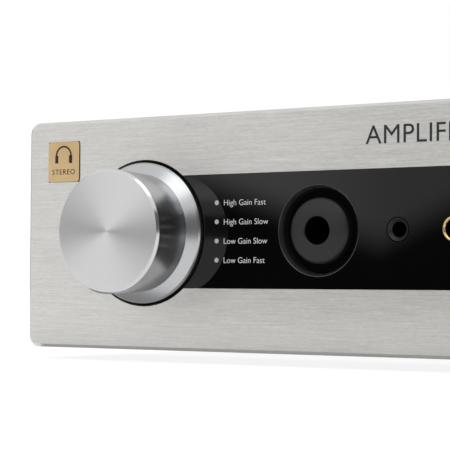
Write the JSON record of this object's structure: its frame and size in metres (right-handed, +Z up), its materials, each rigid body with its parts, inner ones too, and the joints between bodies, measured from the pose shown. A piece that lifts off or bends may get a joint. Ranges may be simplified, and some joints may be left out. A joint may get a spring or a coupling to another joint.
{
  "type": "headphone amplifier",
  "caption": "Low desktop headphone amplifier: metal case, thick brushed front plate, round knobs at the ends of a black window strip, headphone sockets in front, audio and mains sockets behind.",
  "frame": {"origin": "on the table, under the middle of the object's box from knob faces to phono sockets", "axes": "+X to the right seen from the front, +Y from the front plate to the rear panel, +Z up"},
  "size_m": [0.228, 0.2246, 0.061],
  "materials": {
    "plate_aluminium": "brushed along the plate's width, clear anodised",
    "knob_aluminium": "turned and anodised, fine rings on the face",
    "case_paint": "fine satin powder coat, silver grey",
    "tray_steel": "zinc plated sheet",
    "window_acrylic": "polished black acrylic",
    "liner_plastic": "black, fine grain",
    "badge_brass": "brushed gold plate",
    "socket_plastic": "black glass-filled nylon",
    "nut_plastic": "dark grey, moulded",
    "gold_contact": "gold plated, bright",
    "nickel": "bright nickel plate",
    "screw_steel": "socket-head screws, zinc plated",
    "black_screw": "black oxide",
    "shaft_steel": "turned steel",
    "rubber": "moulded, matt",
    "light_pipe": "clear, milky ends",
    "board": "green solder mask",
    "coil_tape": "iron core and copper under yellow tape",
    "can_sleeve": "shrink sleeve with a bare top",
    "sink_aluminium": "black anodised",
    "fuse_glass": "glass tube with nickel caps",
    "white_insulator": "white and red insulator rings"
  },
  "bodies": {
    "case": {"front_plate": "plate_aluminium", "window_panel": "window_acrylic", "badge": "badge_brass", "bottom_chassis": "tray_steel", "top_cover": "case_paint", "cover_screws": "black_screw", "rear_panel": "case_paint", "front_plate_screws": "screw_steel", "rear_panel_screws": "black_screw", "foot_front_left": "rubber", "foot_front_right": "rubber", "foot_back_left": "rubber", "foot_back_right": "rubber", "foot_screws": "screw_steel", "volume_potentiometer": "tray_steel", "selector_encoder": "tray_steel", "control_nuts": "nickel", "knob_well_liners": "liner_plastic", "big_jack_rim": "socket_plastic", "big_jack_nut": "nut_plastic", "big_jack_body": "socket_plastic", "mini_jack_body": "nut_plastic", "balanced_jack_ring": "gold_contact", "balanced_jack_body": "socket_plastic", "round_socket_shell": "nut_plastic", "round_socket_insert": "socket_plastic", "light_pipes": "light_pipe", "mains_inlet": "socket_plastic", "inlet_pins": "nickel", "power_switch_frame": "socket_plastic", "voltage_selector_frame": "socket_plastic", "phono_in_left": "gold_contact", "phono_in_right": "gold_contact", "phono_out_left": "gold_contact", "phono_out_right": "gold_contact", "phono_insulators": "white_insulator", "left_line_socket": "nickel", "right_line_socket": "nickel", "line_socket_pins": "gold_contact", "usb_b_socket": "nickel", "usb_c_socket": "nickel", "front_board": "board", "main_board": "board", "board_posts": "nickel", "mains_transformer": "coil_tape", "transformer_clamp": "tray_steel", "filter_capacitors": "can_sleeve", "output_heat_sink": "sink_aluminium"},
    "volume_control": {"volume_knob": "knob_aluminium", "volume_grub_screw": "black_screw", "volume_shaft": "shaft_steel"},
    "selector_plunger": {"encoder_plunger": "shaft_steel"},
    "selector_control": {"selector_knob": "knob_aluminium", "selector_grub_screw": "black_screw", "selector_shaft": "shaft_steel"},
    "rocker": {"power_rocker": "nut_plastic"},
    "drawer": {"fuse_drawer": "socket_plastic", "fuse": "fuse_glass"},
    "release_tab": {"round_socket_tab": "nickel"},
    "voltage_slider": {"voltage_selector_slider": "nut_plastic"}
  },
  "joints": [
    {"name": "volume_turn", "type": "hinge", "parent": "case", "child": "volume_control", "pos_m": [-0.077, -0.105, 0.032], "axis": [0, 1, 0], "range_deg": [0, 300]},
    {"name": "selector_push", "type": "slide", "parent": "case", "child": "selector_plunger", "axis": [0, 1, 0], "range_m": [0, 0.0008], "stiffness_N_per_m": 1500},
    {"name": "selector_turn", "type": "hinge", "parent": "selector_plunger", "child": "selector_control", "pos_m": [0.077, -0.105, 0.032], "axis": [0, 1, 0], "continuous": true},
    {"name": "power_rock", "type": "hinge", "parent": "case", "child": "rocker", "pos_m": [-0.047, 0.10175, 0.038], "axis": [1, 0, 0], "range_deg": [0, 16]},
    {"name": "drawer_slide", "type": "slide", "parent": "case", "child": "drawer", "axis": [0, 1, 0], "range_m": [0, 0.024]},
    {"name": "tab_press", "type": "slide", "parent": "case", "child": "release_tab", "axis": [0, 1, 0], "range_m": [0, 0.0008], "stiffness_N_per_m": 800},
    {"name": "voltage_slide", "type": "slide", "parent": "case", "child": "voltage_slider", "axis": [1, 0, 0], "range_m": [0, 0.0056]}
  ]
}
